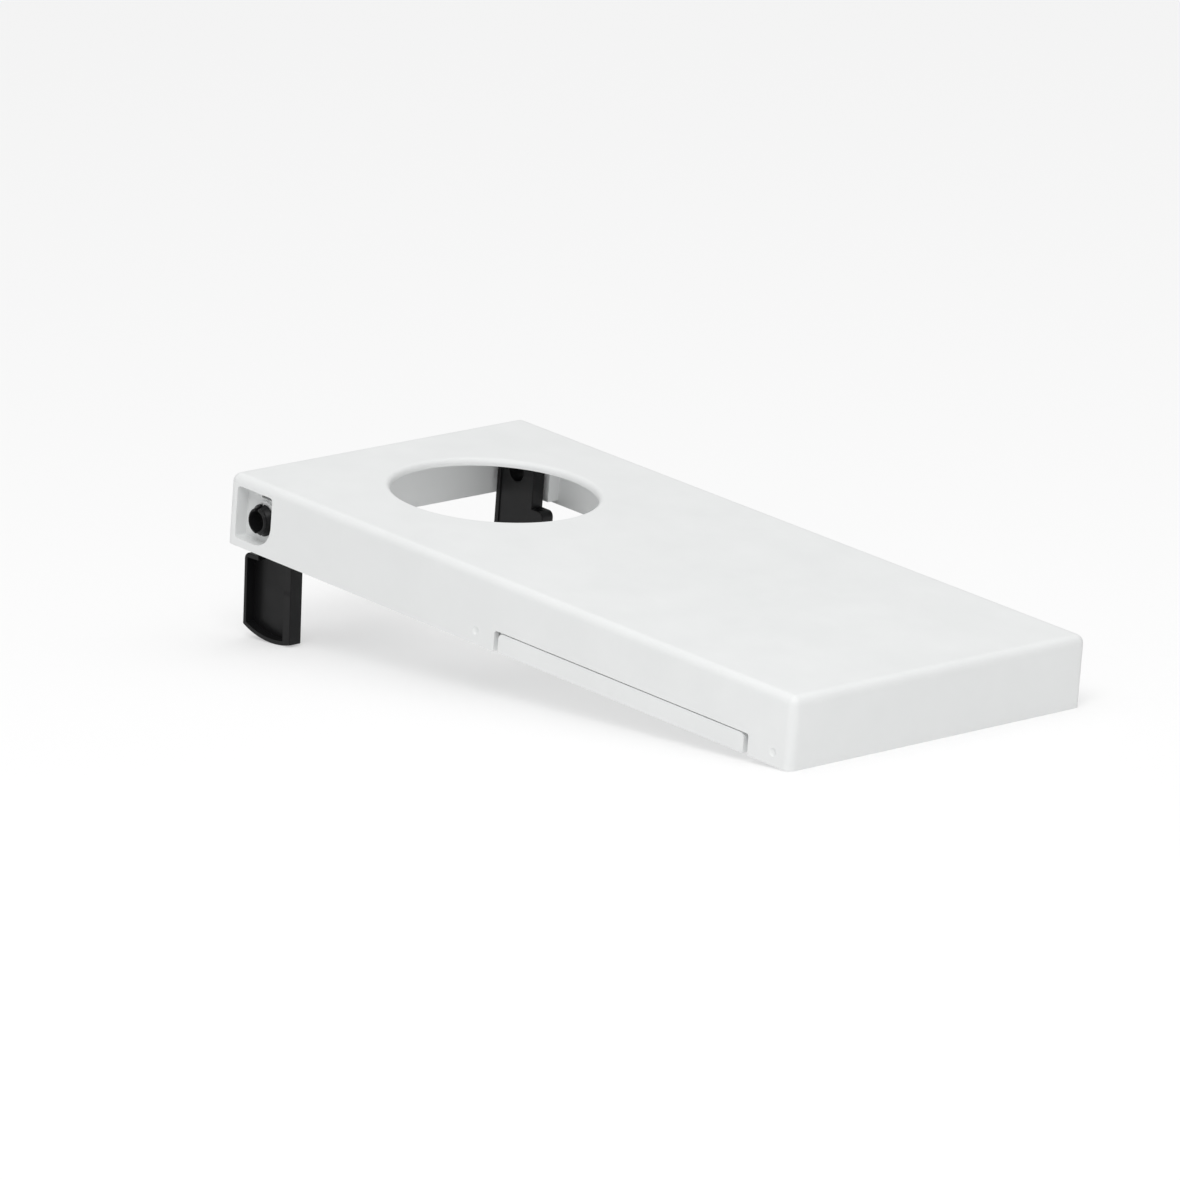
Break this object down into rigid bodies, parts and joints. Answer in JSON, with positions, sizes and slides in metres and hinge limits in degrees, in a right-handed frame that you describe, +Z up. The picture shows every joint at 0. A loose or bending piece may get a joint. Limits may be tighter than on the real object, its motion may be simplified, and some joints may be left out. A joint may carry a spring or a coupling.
{
  "type": "tabletop cornhole board",
  "caption": "Small tray-shaped cornhole board with a round throwing hole, folding snap-in legs at the high end and a storage door underneath.",
  "frame": {"origin": "on the surface the board stands on, under the middle of its bounding box", "axes": "+X from the high end with the hole to the low end, +Y from the near wall with the door's lip to the far wall, +Z up; the deck is tilted 7.2 degrees down towards +X"},
  "size_m": [0.2568, 0.1206, 0.054],
  "materials": {
    "white_plastic": "fine satin moulding texture",
    "black_plastic": "satin"
  },
  "bodies": {
    "shell": {"deck_shell": "white_plastic"},
    "near_leg_body": {"near_leg": "black_plastic"},
    "far_leg_body": {"far_leg": "black_plastic"},
    "door_body": {"storage_door": "white_plastic"}
  },
  "joints": [
    {"name": "near_leg_fold", "type": "hinge", "parent": "shell", "child": "near_leg_body", "pos_m": [-0.11199, -0.0523, 0.04013], "axis": [0, -1, 0], "range_deg": [0, 87]},
    {"name": "far_leg_fold", "type": "hinge", "parent": "shell", "child": "far_leg_body", "pos_m": [-0.11199, 0.0523, 0.04013], "axis": [0, -1, 0], "range_deg": [0, 74]},
    {"name": "storage_door_swing", "type": "hinge", "parent": "shell", "child": "door_body", "pos_m": [0.05532, 0.0553, 0.01214], "axis": [0.9921, 0, -0.1253], "range_deg": [0, 94]}
  ]
}
